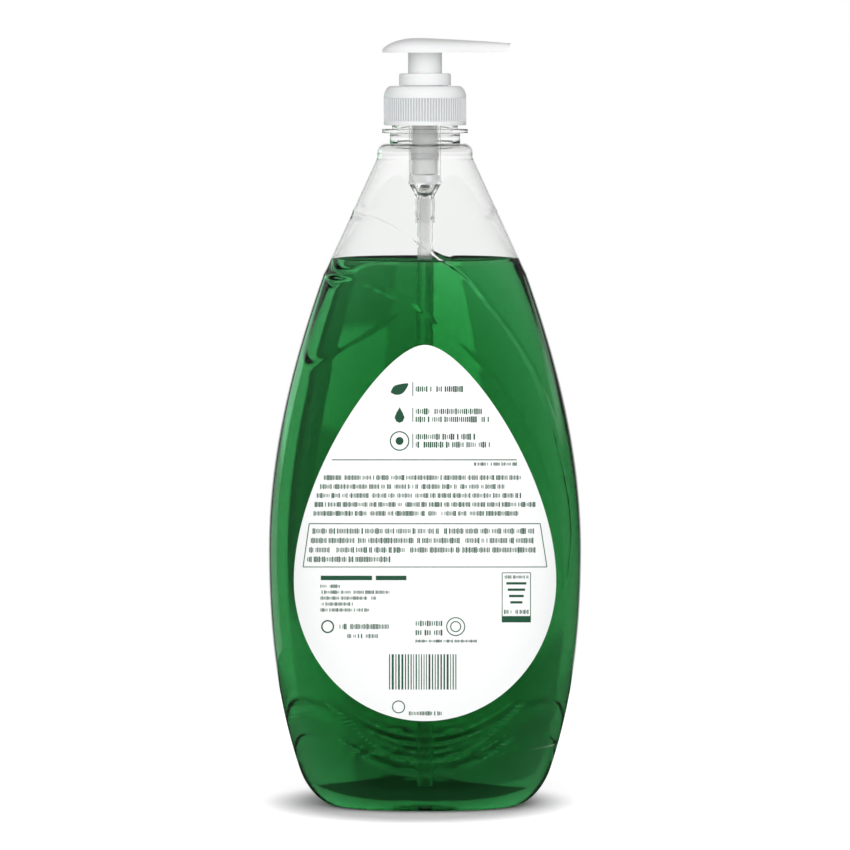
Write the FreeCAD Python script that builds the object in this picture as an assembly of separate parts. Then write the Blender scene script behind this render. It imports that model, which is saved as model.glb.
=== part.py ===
import FreeCAD, Part
import math
import os

V = FreeCAD.Vector
AXIS = V(0, 0, 1)

# A pump bottle of dish soap, in millimetres. The bottle stands on Z = 0, its broad front faces -Y,
# and the neck, the closure and the pump share the Z axis. The nozzle points along +X.

# Blown bottle: belly, crease, cone and heel
wall = 0.75                    # blown PET wall
belly_half_width = 60.2
belly_half_depth = 41.0
belly_height = 99.0            # height of the widest section
belly_power = 2.4              # superellipse exponent of the belly sections
crease_half_width = 39.0
crease_half_depth = 28.8
crease_height = 204.7          # the crease where the belly meets the cone
crease_power = 2.2
crease_slope_side = 0.36       # how fast the belly widens just under the crease, seen from the front
crease_slope_front = 0.28      # and seen from the side
foot_half_width = 48.4         # the section where the heel starts to turn in
foot_half_depth = 34.0
foot_slope = 0.33
heel_height = 14.0
heel_reach = 9.0
push_up_half_width = 30.0      # domed hollow under the base
push_up_half_depth = 16.0
push_up_height = 7.0
section_points = 24            # points of each section of the bottle

# Neck of the bottle: a 28 mm finish with a support ring
cone_height = 44.8             # from the crease to the short upright collar under the neck
collar_radius = 18.3
collar_height = 2.0
collar_round = 3.4
stub_radius = 13.5
stub_height = 3.9
ring_radius = 16.5
ring_thickness = 1.6
finish_radius = 12.65
finish_height = 12.8
bore_radius = 10.85
neck_overlap = 2.5             # how far the neck's blank runs down inside the cone
cone_overlap = 1.0             # and the cone's blank up inside the collar

# Relief pressed into both broad faces. The swoosh is drawn in shares of the belly's half width
# and of the crease's height, and the crescents hang under the label.
relief_depth = 0.6
swoosh_upper = [(-0.75, 1.133), (-0.337, 1.110), (-0.057, 1.066), (0.258, 0.997), (0.569, 0.880),
                (0.787, 0.741), (0.908, 0.584), (0.914, 0.484), (0.868, 0.394)]
swoosh_lower = [(-0.75, 1.007), (-0.508, 1.006), (-0.159, 0.965), (0.258, 0.868), (0.601, 0.742),
                (0.825, 0.570), (0.868, 0.394)]
upper_crescent = (38.8, 9.0, -7.3, -16.2)   # half width; tips, top and bottom from the label's lowest point
lower_crescent = (36.9, -3.4, -18.1, -21.9)

# Contents and label
soap_level = 210.9
soap_clearance = 0.1           # film between the soap solid and the wall
tube_slot = 0.3                # room round the dip tube, which is drawn out of the soap
label_glue = 0.05
label_thickness = 0.15
label_centre = 89.0            # height of the label's widest line
label_half_width = 49.9
label_drop = 52.0              # from that line down to the lowest point
label_rise = 90.4              # and up to the tip
label_shoulder = 39.6          # how far the sides run on upwards before they turn in
label_tip_width = 15.8         # how blunt the tip is

# Gasket and pump housing
seat_gap = 0.05                # between faces that only touch when the closure is tight
gasket_thickness = 1.0
gasket_inner_radius = 9.0
flange_radius = 12.6
flange_thickness = 1.2
cup_radius = 8.9
cup_wall = 0.9
cup_rise = 3.6                 # cup above the flange
cup_drop = 6.0                 # cup under the flange
flare_height = 2.7
barrel_wall = 0.65
piston_bore = 5.5
barrel_length = 26.4
bead_size = 0.3
bead_height = 1.2
seat_cone_height = 4.3
orifice_radius = 1.8
orifice_length = 1.2
socket_wall = 0.8
socket_depth = 9.3
gusset_count = 4
gusset_thickness = 0.8
gusset_drop = 1.5              # gussets under the seat cone
nub_reach = 0.8
nub_height = 1.2

# Dip tube, inlet valve and spring
tube_radius = 2.95
tube_wall = 0.75
tube_floor_gap = 12.0          # from the standing surface to the open end of the tube
ball_radius = 2.4
outlet_ball_radius = 2.0
valve_clearance = 0.05
ball_room = 0.5                # round the outlet ball in its chamber
cage_lift = 0.7                # over the foot of the barrel
cage_height = 2.8
cage_wall = 1.1
cage_plate = 1.4
cage_hub_radius = 1.6
cage_slots = 4
cage_slot_width = 2.2
spring_wire = 0.35             # wire radius
spring_radius = 2.85
spring_turns = 9
spring_closed_pitch = 0.74     # the last turn at each end lies against the next

# Plunger
running_gap = 0.08             # radial clearance of shafts in their bores
stem_radius = 4.8
stem_bore = 3.4
stem_foot_gap = 0.5            # stem over the valve cage when the head is locked down
spring_pocket = 18.8           # depth of the bore that holds the spring
stem_channel = 1.5
stem_length = 44.2
outlet_chamber_depth = 6.2
piston_height = 2.9
piston_lift = 5.3              # piston over the foot of the stem
piston_clearance = 0.05
piston_lip = 0.4
stroke = 13.5

# Lock collar that closes the housing and guides the stem
lock_radius = 9.95
lock_gap = 0.2                 # over the closure
lock_height = 4.6
lock_round = 0.8
lock_clearance = 0.05
guide_gap = 1.5                # between the guide and the shroud when the head is down
stop_gap = 0.3                 # between the piston and the guide's nose when the head is up

# Closure
closure_radius = 15.75
closure_rib_height = 0.4
closure_rib_count = 90
closure_wall = 1.1
closure_top = 1.2
closure_height = 15.0
closure_band = 1.6             # plain band under the ribs
closure_dome_height = 4.6
closure_dome_reach = 2.9
closure_inner_round = 1.5
closure_rib_foot = 0.36        # half widths of a rib at its foot and its crest, in shares of the pitch
closure_rib_crest = 0.20

# Pump head
shroud_radius = 6.5
shroud_depth = 16.6            # how far the shroud hangs under the head
head_height = 5.6
head_peak = -3.2               # where the top line is highest
head_tail = 16.8
head_half_width = 12.4
head_wall = 1.3
head_over_stem = 2.1           # underside of the head over the end of the stem
head_corner = 0.8              # under 1, the sections are squarer than an ellipse
tail_drop = 1.15               # how soon the top line drops towards the tail, 1 being an ellipse
nozzle_drop = 1.4              # and towards the nozzle, 1 being a straight line
nozzle_sections = (0.22, 0.42, 0.62, 0.81, 1.0)   # places of the sections from the peak to the tip
nozzle_reach = 32.8
nozzle_height = 3.6
nozzle_half_width = 4.4
nozzle_slant = 1.2
nozzle_bore = 1.15
nozzle_floor = 0.6

# Heights that the pieces share, worked upwards
collar_base = crease_height + cone_height
stub_base = collar_base + collar_height + collar_round
ring_base = stub_base + stub_height
ring_top = ring_base + ring_thickness
land = ring_top + finish_height
flange_base = land + gasket_thickness + 2 * seat_gap
flange_top = flange_base + flange_thickness
closure_top_face = flange_top + 2 * seat_gap + closure_top
cup_base = flange_base - cup_drop
barrel_top = cup_base - flare_height
barrel_base = barrel_top - barrel_length
seat_base = barrel_base - seat_cone_height
socket_top = seat_base - orifice_length
socket_base = socket_top - socket_depth
lock_base = closure_top_face + lock_gap
lock_top = lock_base + lock_height
cage_base = barrel_base + cage_lift
cage_top = cage_base + cage_height
stem_base = cage_top + stem_foot_gap
stem_shoulder = stem_base + spring_pocket
stem_top = stem_base + stem_length
piston_base = stem_base + piston_lift
head_base = stem_top + head_over_stem
shroud_base = head_base - shroud_depth
label_low = label_centre - label_drop
cup_bore = cup_radius - cup_wall
cup_top = flange_top + cup_rise
tube_bore = tube_radius - tube_wall
barrel_radius = piston_bore + barrel_wall


def outline(start, *steps):
    """A wire in the XZ plane: a step is a corner (r, z), or an arc (through r, z, end r, z)."""
    edges = []
    here = V(start[0], 0, start[1])
    for step in steps:
        end = V(step[-2], 0, step[-1])
        if len(step) == 4:
            edges.append(Part.Arc(here, V(step[0], 0, step[1]), end).toShape())
        else:
            edges.append(Part.makeLine(here, end))
        here = end
    return edges, here


def turned(start, *steps):
    """A solid turned about the Z axis from a closed half section."""
    edges, here = outline(start, *steps)
    edges.append(Part.makeLine(here, V(start[0], 0, start[1])))
    return Part.Face(Part.Wire(edges)).revolve(V(0, 0, 0), AXIS, 360)


def rod(radius, low, high):
    return Part.makeCylinder(radius, high - low, V(0, 0, low))


def ring(outer, inner, low, high):
    return rod(outer, low, high).cut(rod(inner, low, high))


def section(half_width, half_depth, power, z):
    """A closed superellipse wire at height z. All sections share their parameters, so lofts stay light."""
    points = []
    for step in range(section_points):
        angle = 2 * math.pi * step / section_points
        c, s = math.cos(angle), math.sin(angle)
        x = math.copysign(abs(c) ** (2 / power), c) * half_width
        y = math.copysign(abs(s) ** (2 / power), s) * half_depth
        points.append(V(x, y, z))
    curve = Part.BSplineCurve()
    shared = [float(step) for step in range(section_points + 1)]
    curve.interpolate(Points=points, PeriodicFlag=True, Parameters=shared)
    return Part.Wire(curve.toShape())


def eased(t, start, end, start_rate, end_rate):
    """Cubic from start to end for t from 0 to 1, with the given rates at its ends."""
    return (start * (2 * t ** 3 - 3 * t ** 2 + 1) + start_rate * (t ** 3 - 2 * t ** 2 + t)
            + end * (3 * t ** 2 - 2 * t ** 3) + end_rate * (t ** 3 - t ** 2))


def half_size(z, crease, belly, foot, crease_rate):
    """Half width or half depth of the belly at height z, with the foot line run on under the heel."""
    if z >= belly_height:
        span = crease_height - belly_height
        return eased((crease_height - z) / span, crease, belly, crease_rate * span, 0)
    if z >= heel_height:
        span = belly_height - heel_height
        return eased((belly_height - z) / span, belly, foot, 0, -foot_slope * span)
    return foot - foot_slope * (heel_height - z)


def belly_section(z, inset):
    half_width = half_size(z, crease_half_width, belly_half_width, foot_half_width, crease_slope_side)
    half_depth = half_size(z, crease_half_depth, belly_half_depth, foot_half_depth, crease_slope_front)
    rise = max(0.0, (z - belly_height) / (crease_height - belly_height))
    power = belly_power + (crease_power - belly_power) * rise
    return section(half_width - inset, half_depth - inset, power, z)


def blown_body(inset):
    """The bottle under its neck, drawn in by inset: cone, belly, heel and the hollow under the base."""
    crease = belly_section(crease_height, inset)
    lean = (crease_half_width - collar_radius) / cone_height
    tip_radius = collar_radius - lean * cone_overlap - inset
    cone = Part.makeLoft([section(tip_radius, tip_radius, 2, collar_base + cone_overlap), crease], True, True)
    wires = [crease]
    upper_steps, lower_steps, heel_steps = 5, 4, 6
    for step in range(1, upper_steps + 1):
        wires.append(belly_section(crease_height + (belly_height - crease_height) * step / upper_steps, inset))
    for step in range(1, lower_steps):
        wires.append(belly_section(belly_height + (heel_height - belly_height) * step / lower_steps, inset))
    for step in range(heel_steps + 1):
        turn = math.pi / 2 * step / heel_steps
        z = heel_height - (heel_height - inset) * math.sin(turn)
        drawn_in = (heel_reach - inset) * (1 - math.cos(turn))
        wires.append(belly_section(z, inset + drawn_in))
    belly = Part.makeLoft(wires, True, False)
    stretch = FreeCAD.Matrix()
    stretch.scale(push_up_half_width + inset, push_up_half_depth + inset, push_up_height + inset)
    hollow = Part.makeSphere(1).transformGeometry(stretch)
    return cone.fuse(belly).cut(hollow)


def face_curve(shares):
    """A smooth edge of the front view, through points in shares of the belly's width and the crease's height."""
    curve = Part.BSplineCurve()
    curve.interpolate(Points=[V(x * belly_half_width, 0, z * crease_height) for x, z in shares])
    return curve.toShape()


def crescent_edges(half_width, tips, top, bottom):
    """Two arcs that meet at the tips of a crescent under the label."""
    ends = V(-half_width, 0, label_low + tips), V(half_width, 0, label_low + tips)
    return [Part.Arc(ends[0], V(0, 0, label_low + dip), ends[1]).toShape() for dip in (top, bottom)]


def through_front(edges):
    """The area inside the edges, run forwards through the front wall."""
    face = Part.Face(Part.Wire(Part.__sortEdges__(edges)))
    return face.extrude(V(0, -2 * belly_half_depth, 0))


def relief_prisms():
    """The long swoosh round the label and the two crescents under it, on the front and the back."""
    upper, lower = face_curve(swoosh_upper), face_curve(swoosh_lower)
    open_end = Part.makeLine(upper.Vertexes[0].Point, lower.Vertexes[0].Point)
    front = [through_front([upper, lower, open_end])]
    for crescent in (upper_crescent, lower_crescent):
        front.append(through_front(crescent_edges(*crescent)))
    back = [prism.copy().rotate(V(0, 0, 0), AXIS, 180) for prism in front]
    return front + back


def pressed(body, inset, prisms):
    """The body with the relief sunk into it by relief_depth."""
    deeper = blown_body(inset + relief_depth)
    for prism in prisms:
        body = body.cut(prism.cut(deeper))
    return body


def neck_outside():
    """Blank of the neck: upright collar, rounded shoulder, stub, support ring and finish."""
    under = collar_base - neck_overlap
    bend = collar_round * (1 - math.sqrt(0.5))
    return turned(
        (0, under), (collar_radius, under), (collar_radius, stub_base - collar_round),
        (collar_radius - bend, stub_base - bend, collar_radius - collar_round, stub_base),
        (stub_radius, stub_base), (stub_radius, ring_base), (ring_radius, ring_base),
        (ring_radius, ring_top), (finish_radius, ring_top), (finish_radius, land), (0, land))


def neck_inside(inset):
    under = collar_base - neck_overlap
    side = collar_radius - inset
    bend_radius = collar_round - inset
    bend = bend_radius * (1 - math.sqrt(0.5))
    top = stub_base - inset
    return turned(
        (0, under), (side, under), (side, top - bend_radius),
        (side - bend, top - bend, side - bend_radius, top),
        (bore_radius, top), (bore_radius, land + 1), (0, land + 1))


def make_bottle(prisms):
    outside = pressed(blown_body(0), 0, prisms).fuse(neck_outside())
    inside = pressed(blown_body(wall), wall, prisms).fuse(neck_inside(wall))
    return outside.cut(inside)


def make_dish_soap(prisms):
    """The liquid, poured to soap_level, with room for the wall of the dip tube."""
    inset = wall + soap_clearance
    liquid = pressed(blown_body(inset), inset, prisms)
    above = Part.makeBox(4 * belly_half_width, 4 * belly_half_depth, land,
                         V(-2 * belly_half_width, -2 * belly_half_depth, soap_level))
    slot = ring(tube_radius + tube_slot, tube_bore - tube_slot, tube_floor_gap - tube_slot, soap_level)
    return liquid.cut(above).cut(slot)


def make_label():
    """The label on the front: half an ellipse below, a blunt tip above, bent round the belly."""
    side = V(label_half_width, 0, 0)
    middle = V(0, 0, label_centre)
    tip = middle + V(0, 0, label_rise)
    half_turn = [math.pi * step / 12 for step in range(13)]
    low_edge = Part.BSplineCurve()
    low_edge.interpolate(
        Points=[middle + side * math.cos(t) - V(0, 0, label_drop * math.sin(t)) for t in half_turn],
        InitialTangent=V(0, 0, -1), FinalTangent=V(0, 0, 1))
    edges = [low_edge.toShape()]
    for hand in (1, -1):
        curve = Part.BezierCurve()
        curve.setPoles([middle + side * hand, middle + side * hand + V(0, 0, label_shoulder),
                        tip + V(hand * label_tip_width, 0, 0), tip])
        edges.append(curve.toShape())
    prism = through_front(edges)
    return prism.common(blown_body(-label_glue - label_thickness)).cut(blown_body(-label_glue))


def make_gasket():
    base = land + seat_gap
    return ring(flange_radius, gasket_inner_radius, base, base + gasket_thickness)


def make_pump_housing():
    """Cup, flange and barrel, with the seat of the inlet ball and the socket of the dip tube."""
    socket = tube_radius + socket_wall
    bead = barrel_radius + bead_size
    bead_top = barrel_base + bead_height
    outer = turned(
        (0, socket_base), (socket, socket_base), (socket, seat_base), (barrel_radius, barrel_base),
        (bead, barrel_base), (bead, bead_top), (barrel_radius, bead_top),
        (barrel_radius, barrel_top), (cup_radius, cup_base), (cup_radius, flange_base),
        (flange_radius, flange_base), (flange_radius, flange_top), (cup_radius, flange_top),
        (cup_radius, cup_top), (0, cup_top))
    for k in range(gusset_count):
        turn = 360 * (k + 0.5) / gusset_count
        corners = [V(0, 0, seat_base - gusset_drop), V(socket, 0, seat_base - gusset_drop),
                   V(bead, 0, seat_base + seat_cone_height / 2), V(bead, 0, bead_top), V(0, 0, bead_top)]
        web = Part.Face(Part.makePolygon(corners + corners[:1])).extrude(V(0, gusset_thickness, 0))
        nub = Part.makeBox(socket + nub_reach, gusset_thickness, nub_height, V(0, 0, socket_base + nub_height))
        for rib in (web, nub):
            rib.translate(V(0, -gusset_thickness / 2, 0))
            rib.rotate(V(0, 0, 0), AXIS, turn)
        outer = outer.fuse([web, nub])
    inner = turned(
        (0, socket_base - 1), (tube_radius, socket_base - 1), (tube_radius, socket_top),
        (orifice_radius, socket_top), (orifice_radius, seat_base),
        (piston_bore, barrel_base), (piston_bore, barrel_top),
        (cup_bore, cup_base), (cup_bore, cup_top + 1), (0, cup_top + 1))
    return outer.cut(inner)


def make_dip_tube():
    return ring(tube_radius, tube_bore, tube_floor_gap, socket_top)


def seat_height():
    """Centre of the inlet ball at rest in its cone, with a film of clearance."""
    run = piston_bore - orifice_radius
    slant = math.hypot(run, seat_cone_height)
    return seat_base + ((ball_radius + valve_clearance) * slant - orifice_radius * seat_cone_height) / run


def make_inlet_ball():
    return Part.makeSphere(ball_radius, V(0, 0, seat_height()))


def make_valve_cage():
    """The ring pressed into the foot of the barrel. Its slotted plate stops the ball and carries the spring."""
    cage = turned((0, cage_top - cage_plate), (piston_bore - cage_wall, cage_top - cage_plate),
                  (piston_bore - cage_wall, cage_base), (piston_bore, cage_base),
                  (piston_bore, cage_top), (0, cage_top))
    reach = piston_bore - cage_wall
    for k in range(cage_slots):
        slot = Part.makeBox(reach - cage_hub_radius, cage_slot_width, cage_plate,
                            V(cage_hub_radius, -cage_slot_width / 2, cage_top - cage_plate))
        slot.rotate(V(0, 0, 0), AXIS, 360 * k / cage_slots)
        cage = cage.cut(slot)
    return cage


def make_spring():
    """Return spring, squeezed between the valve cage and the shoulder in the stem, with closed ends."""
    low = cage_top + spring_wire
    high = stem_shoulder - spring_wire
    active = spring_turns - 2
    pitch = (high - low - 2 * spring_closed_pitch) / active
    sides, steps = 6, 12
    wires = []
    for step in range(spring_turns * steps + 1):
        turns = step / steps
        if turns < 1:
            z = low + turns * spring_closed_pitch
        elif turns > spring_turns - 1:
            z = high - (spring_turns - turns) * spring_closed_pitch
        else:
            z = low + spring_closed_pitch + (turns - 1) * pitch
        out = V(math.cos(2 * math.pi * turns), math.sin(2 * math.pi * turns), 0)
        corners = []
        for side in range(sides):
            angle = 2 * math.pi * side / sides
            corners.append(out * (spring_radius + spring_wire * math.cos(angle))
                           + V(0, 0, z + spring_wire * math.sin(angle)))
        wires.append(Part.makePolygon(corners + corners[:1]))
    return Part.makeLoft(wires, True, True)


def make_stem():
    """Hollow stem: spring bore below, narrow channel, and the chamber of the outlet ball on top."""
    chamber = outlet_ball_radius + ball_room
    seat = stem_top - outlet_chamber_depth
    outer = rod(stem_radius, stem_base, stem_top)
    inner = turned((0, stem_base - 1), (stem_bore, stem_base - 1), (stem_bore, stem_shoulder),
                   (stem_channel, stem_shoulder), (stem_channel, seat),
                   (chamber, seat + chamber - stem_channel), (chamber, stem_top + 1), (0, stem_top + 1))
    return outer.cut(inner)


def make_piston():
    """Soft seal on the stem, with a lip at each end and a groove between."""
    edge = piston_bore - piston_clearance
    top = piston_base + piston_height
    waist = edge - piston_lip / 2
    return turned((stem_radius, piston_base), (edge, piston_base), (edge, piston_base + piston_lip),
                  (waist, piston_base + 2 * piston_lip), (waist, top - 2 * piston_lip),
                  (edge, top - piston_lip), (edge, top), (stem_radius, top))


def make_outlet_ball():
    """It rests on the 45 degree seat above the channel."""
    seat = stem_top - outlet_chamber_depth
    centre = seat - stem_channel + (outlet_ball_radius + valve_clearance) * math.sqrt(2)
    return Part.makeSphere(outlet_ball_radius, V(0, 0, centre))


def make_lock_collar():
    """White collar over the cup, with a sleeve for the head's shroud and a guide nose for the stem."""
    shroud_bore = shroud_radius + running_gap
    guide_bore = stem_radius + running_gap
    sleeve = cup_bore - lock_clearance
    nose = piston_bore - lock_clearance
    nose_base = piston_base + piston_height + stroke + stop_gap
    guide_base = cup_base + lock_clearance
    guide_top = shroud_base - guide_gap
    bend = lock_round * (1 - math.sqrt(0.5))
    cap_base = cup_top + lock_clearance
    skirt = cup_radius + lock_clearance
    return turned(
        (guide_bore, nose_base), (nose, nose_base), (nose, guide_base),
        (sleeve, guide_base), (sleeve, cap_base), (skirt, cap_base), (skirt, lock_base),
        (lock_radius, lock_base), (lock_radius, lock_top - lock_round),
        (lock_radius - bend, lock_top - bend, lock_radius - lock_round, lock_top),
        (shroud_bore, lock_top), (shroud_bore, guide_top), (guide_bore, guide_top))


def make_closure():
    """Ribbed screw closure, domed over the flange and open in the middle for the lock collar."""
    base = closure_top_face - closure_height
    band_top = base + closure_band
    dome_base = closure_top_face - closure_dome_height
    under_top = closure_top_face - closure_top
    root = closure_radius - closure_rib_height
    bore = root - closure_wall
    hidden = (root + bore) / 2
    hole = cup_radius + lock_clearance
    quarter = 1 - math.sqrt(0.5)
    shell = turned(
        (bore, base), (closure_radius, base), (closure_radius, band_top), (hidden, band_top),
        (hidden, dome_base), (closure_radius, dome_base),
        (closure_radius - closure_dome_reach * quarter, closure_top_face - closure_dome_height * quarter,
         closure_radius - closure_dome_reach, closure_top_face),
        (hole, closure_top_face), (hole, under_top),
        (bore - closure_inner_round, under_top), (bore, under_top - closure_inner_round))
    pitch = 2 * math.pi / closure_rib_count
    corners = []
    for k in range(closure_rib_count):
        for share, radius in ((-closure_rib_foot, root), (-closure_rib_crest, closure_radius),
                              (closure_rib_crest, closure_radius), (closure_rib_foot, root)):
            angle = pitch * (k + share)
            corners.append(V(radius * math.cos(angle), radius * math.sin(angle), band_top))
    ribs = Part.Face(Part.makePolygon(corners + corners[:1])).extrude(V(0, 0, dome_base - band_top))
    return shell.fuse(ribs.cut(rod((bore + hidden) / 2, band_top, dome_base)))


def head_section(x, half_width, height):
    """Flat-bottomed, round-topped section of the head at x."""
    steps = 12
    points = []
    for step in range(steps + 1):
        turn = math.pi * step / steps
        c, s = math.cos(turn), math.sin(turn)
        points.append(V(x, math.copysign(abs(c) ** head_corner, c) * half_width,
                        head_base + abs(s) ** head_corner * height))
    arch = Part.BSplineCurve()
    arch.interpolate(Points=points, Parameters=[float(step) for step in range(steps + 1)])
    return Part.Wire([arch.toShape(), Part.makeLine(points[-1], points[0])])


def head_form(inset):
    """The head without its shroud, drawn in by inset: a round tail that narrows into the nozzle."""
    wires = []
    tail_steps = 6
    for step in range(1, tail_steps + 1):
        turn = math.pi / 2 * step / tail_steps
        x = head_peak - (head_tail + head_peak - inset) * math.cos(turn)
        size = math.sin(turn)
        wires.append(head_section(x, (head_half_width - inset) * size, (head_height - inset) * size ** tail_drop))
    for share in nozzle_sections:
        x = head_peak + (nozzle_reach - head_peak) * share
        narrowing = share * share * (3 - 2 * share)
        half_width = head_half_width + (nozzle_half_width - head_half_width) * narrowing
        height = head_height + (nozzle_height - head_height) * share ** nozzle_drop
        wires.append(head_section(x, half_width - inset, height - inset))
    return Part.makeLoft(wires, True, False)


def make_pump_head():
    """One-piece head: thumb pad and nozzle, a shroud that runs in the lock collar, and the liquid's way out."""
    body = head_form(0)
    wide = 2 * head_half_width
    low, high = head_base - 1, head_base + head_height
    lean = nozzle_slant / nozzle_height
    corners = [V(nozzle_reach + lean * (z - head_base - nozzle_height), -wide, z) for z in (low, high)]
    beyond = [V(nozzle_reach + head_tail, -wide, z) for z in (high, low)]
    corners = corners + beyond
    slant_cut = Part.Face(Part.makePolygon(corners + corners[:1])).extrude(V(0, 2 * wide, 0))
    pad_room = Part.makeBox(head_tail - shroud_radius - head_wall, 2 * wide, head_height,
                            V(-head_tail, -wide, head_base))
    body = body.cut(slant_cut).cut(head_form(head_wall).common(pad_room))
    body = body.fuse(rod(shroud_radius, shroud_base, head_base + nozzle_floor))
    channel_height = head_base + nozzle_floor + nozzle_bore
    socket = rod(stem_radius + running_gap, shroud_base - 1, stem_top + running_gap)
    riser = rod(outlet_ball_radius, stem_top, channel_height)
    channel = Part.makeCylinder(nozzle_bore, nozzle_reach + 1, V(0, 0, channel_height), V(1, 0, 0))
    return body.cut(socket).cut(riser).cut(channel)


def build():
    prisms = relief_prisms()
    return {
        "bottle": make_bottle(prisms),
        "dish_soap": make_dish_soap(prisms),
        "label": make_label(),
        "gasket": make_gasket(),
        "pump_housing": make_pump_housing(),
        "lock_collar": make_lock_collar(),
        "dip_tube": make_dip_tube(),
        "inlet_ball": make_inlet_ball(),
        "valve_cage": make_valve_cage(),
        "spring": make_spring(),
        "closure": make_closure(),
        "stem": make_stem(),
        "piston": make_piston(),
        "outlet_ball": make_outlet_ball(),
        "pump_head": make_pump_head(),
    }


os.makedirs("parts", exist_ok=True)
for name, shape in build().items():
    solid = shape.Solids[0]
    print(name, len(shape.Solids), shape.isValid(), round(solid.Volume, 1))
    solid.exportStep("parts/" + name + ".step")
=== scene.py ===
import math

import bpy
import numpy as np
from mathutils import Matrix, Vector


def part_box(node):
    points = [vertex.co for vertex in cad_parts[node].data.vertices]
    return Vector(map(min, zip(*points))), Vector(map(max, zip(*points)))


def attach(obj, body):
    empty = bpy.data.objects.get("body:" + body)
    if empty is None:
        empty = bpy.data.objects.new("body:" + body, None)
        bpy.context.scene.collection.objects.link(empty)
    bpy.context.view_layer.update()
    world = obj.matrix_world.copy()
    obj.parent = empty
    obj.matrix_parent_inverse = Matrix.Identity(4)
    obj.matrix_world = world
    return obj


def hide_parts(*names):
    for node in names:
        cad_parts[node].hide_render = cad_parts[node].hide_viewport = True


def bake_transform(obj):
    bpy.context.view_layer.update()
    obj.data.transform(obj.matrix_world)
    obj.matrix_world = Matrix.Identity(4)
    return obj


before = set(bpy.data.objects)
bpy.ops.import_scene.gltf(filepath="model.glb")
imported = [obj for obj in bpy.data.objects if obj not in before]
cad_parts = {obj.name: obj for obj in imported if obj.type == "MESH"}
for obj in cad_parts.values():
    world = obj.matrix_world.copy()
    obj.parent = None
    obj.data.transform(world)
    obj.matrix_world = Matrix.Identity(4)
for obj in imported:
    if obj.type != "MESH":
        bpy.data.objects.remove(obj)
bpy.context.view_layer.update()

# The bottle.
# One piece of clear PET, stretch blown from a preform: the neck with its thread and support ring stays
# thick and true, and the belly is a thin shell. The mould presses the swoosh and the crescents into it.
mm = 0.001
wall = 0.75
belly_half_width = 60.2
belly_half_depth = 41.0
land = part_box("bottle")[1].z / mm
belly_height = 99.0
belly_power = 2.4
crease_half_width = 39.0
crease_half_depth = 28.8
crease_height = 204.7
crease_power = 2.2
crease_slope_side = 0.36
crease_slope_front = 0.28
foot_half_width = 48.4
foot_half_depth = 34.0
foot_slope = 0.33
heel_height = 14.0
heel_reach = 9.0
push_up = np.array([30.0, 16.0, 7.0])
collar_base = 249.5
collar_radius = 18.3
collar_round = 3.4
stub_base = 254.9
stub_radius = 13.5
ring_base = 258.8
ring_radius = 16.5
ring_top = 260.4
finish_radius = 12.65
bore_radius = 10.85
thread_height = 1.15
thread_pitch = 4.233
half_columns = 120
columns = 2 * half_columns
hollow_row_count = 9
heel_row_count = 12

# The edges of the swoosh in the front view: its outer ridge, and the softer line inside it.
outer_line = [(-46.0, 233.5), (-37.0, 231.8), (-27.5, 228.6), (-20.3, 227.3), (-11.1, 223.4), (-3.5, 218.1),
              (6.1, 211.0), (15.6, 204.1), (21.9, 196.2), (28.6, 187.7), (34.3, 179.6), (40.0, 170.0),
              (43.9, 161.2), (47.4, 151.5), (50.3, 140.6), (52.8, 129.7), (54.7, 119.7), (55.7, 110.4),
              (55.6, 101.2), (54.5, 92.0), (52.7, 82.4), (51.4, 76.0)]
inner_line = [(-46.0, 206.2), (-37.2, 205.8), (-30.6, 205.6), (-24.8, 204.3), (-19.0, 202.0), (-9.6, 197.4),
              (-3.4, 193.5), (3.0, 188.6), (9.1, 183.5), (15.5, 177.8), (22.4, 171.5), (28.5, 164.9),
              (36.1, 152.4), (41.9, 140.2), (46.2, 128.8), (49.5, 117.1), (51.3, 105.6), (52.0, 95.6),
              (52.1, 85.4), (51.4, 76.0)]
upper_crescent = (38.8, 46.0, 29.7, 20.8)
lower_crescent = (36.9, 33.6, 18.9, 15.1)


def eased(t, start, end, start_rate, end_rate):
    """Cubic from start to end for t from 0 to 1, with the given rates at its ends."""
    return (start * (2 * t ** 3 - 3 * t ** 2 + 1) + start_rate * (t ** 3 - 2 * t ** 2 + t)
            + end * (3 * t ** 2 - 2 * t ** 3) + end_rate * (t ** 3 - t ** 2))


def step_up(value, low, high):
    """0 under low, 1 over high and smooth between them."""
    t = np.clip((value - low) / (high - low), 0, 1)
    return t * t * (3 - 2 * t)


def half_size(z, crease, belly, foot, crease_rate):
    """Half width or half depth of the belly at height z."""
    upper_span = crease_height - belly_height
    lower_span = belly_height - heel_height
    upper = eased((crease_height - z) / upper_span, crease, belly, crease_rate * upper_span, 0)
    lower = eased((belly_height - z) / lower_span, belly, foot, 0, -foot_slope * lower_span)
    under = foot - foot_slope * (heel_height - z)
    return np.where(z >= belly_height, upper, np.where(z >= heel_height, lower, under))


def belly_halves(z):
    half_width = half_size(z, crease_half_width, belly_half_width, foot_half_width, crease_slope_side)
    half_depth = half_size(z, crease_half_depth, belly_half_depth, foot_half_depth, crease_slope_front)
    rise = np.clip((z - belly_height) / (crease_height - belly_height), 0, 1)
    return half_width, half_depth, belly_power + (crease_power - belly_power) * rise


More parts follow.
